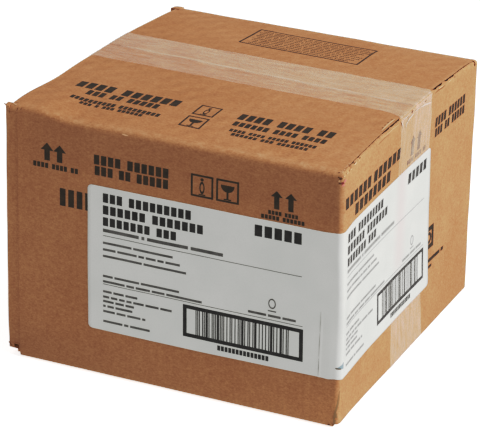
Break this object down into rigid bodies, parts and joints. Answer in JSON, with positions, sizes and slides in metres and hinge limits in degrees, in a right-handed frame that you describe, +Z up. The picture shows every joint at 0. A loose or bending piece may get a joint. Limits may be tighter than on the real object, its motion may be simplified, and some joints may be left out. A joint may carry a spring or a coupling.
{
  "type": "shipping carton",
  "caption": "Shut corrugated shipping carton closed with clear tape, with a paper label wrapped round one upright corner.",
  "frame": {"origin": "on the floor, below the middle of the carton's bounding box", "axes": "+Z up, the long front wall with the label faces -Y, the end wall with the label's other half faces +X"},
  "size_m": [0.2396, 0.2382, 0.1795],
  "materials": {
    "kraft_board": "matt brown kraft liner",
    "clear_tape": "cloudy clear film",
    "label_paper": "smooth white paper"
  },
  "bodies": {
    "root": {"carton": "kraft_board", "tape_top": "clear_tape", "tape_bottom": "clear_tape", "label": "label_paper"}
  },
  "joints": []
}
